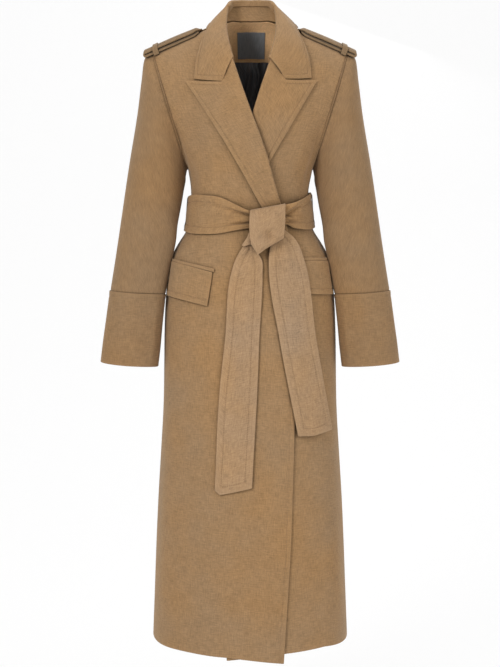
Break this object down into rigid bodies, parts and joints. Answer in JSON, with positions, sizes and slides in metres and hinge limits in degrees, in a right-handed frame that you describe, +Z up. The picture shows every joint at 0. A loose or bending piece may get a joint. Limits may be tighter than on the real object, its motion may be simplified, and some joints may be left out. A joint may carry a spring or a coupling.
{
  "type": "belted trench coat",
  "caption": "Long belted wool trench coat with peak lapels, epaulettes, flap pockets, deep cuffs and a knotted cloth belt, held open as if worn",
  "frame": {"origin": "midway between the two high points of the shoulders, at the neck, where the coat hangs from its wearer", "axes": "+Z up; the front of the coat faces -Y; +X is the wearer's left"},
  "size_m": [0.616, 0.3458, 1.339],
  "materials": {
    "coat_wool": "soft brushed wool",
    "lining": "satin",
    "label": "woven satin"
  },
  "bodies": {
    "root": {"front_right": "coat_wool", "front_left": "coat_wool", "back_right": "coat_wool", "back_left": "coat_wool", "lapel_right": "coat_wool", "lapel_left": "coat_wool", "collar": "coat_wool", "collar_stand": "coat_wool", "neck_facing": "coat_wool", "lining_back": "lining", "label": "label", "sleeve_right": "coat_wool", "sleeve_left": "coat_wool", "cuff_right": "coat_wool", "cuff_left": "coat_wool", "epaulette_right": "coat_wool", "epaulette_left": "coat_wool", "epaulette_loop_right": "coat_wool", "epaulette_loop_left": "coat_wool", "pocket_welt_right": "coat_wool", "pocket_welt_left": "coat_wool", "pocket_flap_right": "coat_wool", "pocket_flap_left": "coat_wool", "belt": "coat_wool", "belt_knot": "coat_wool", "belt_tail_long": "coat_wool", "belt_tail_short": "coat_wool", "belt_loop_right": "coat_wool", "belt_loop_left": "coat_wool"}
  },
  "joints": []
}
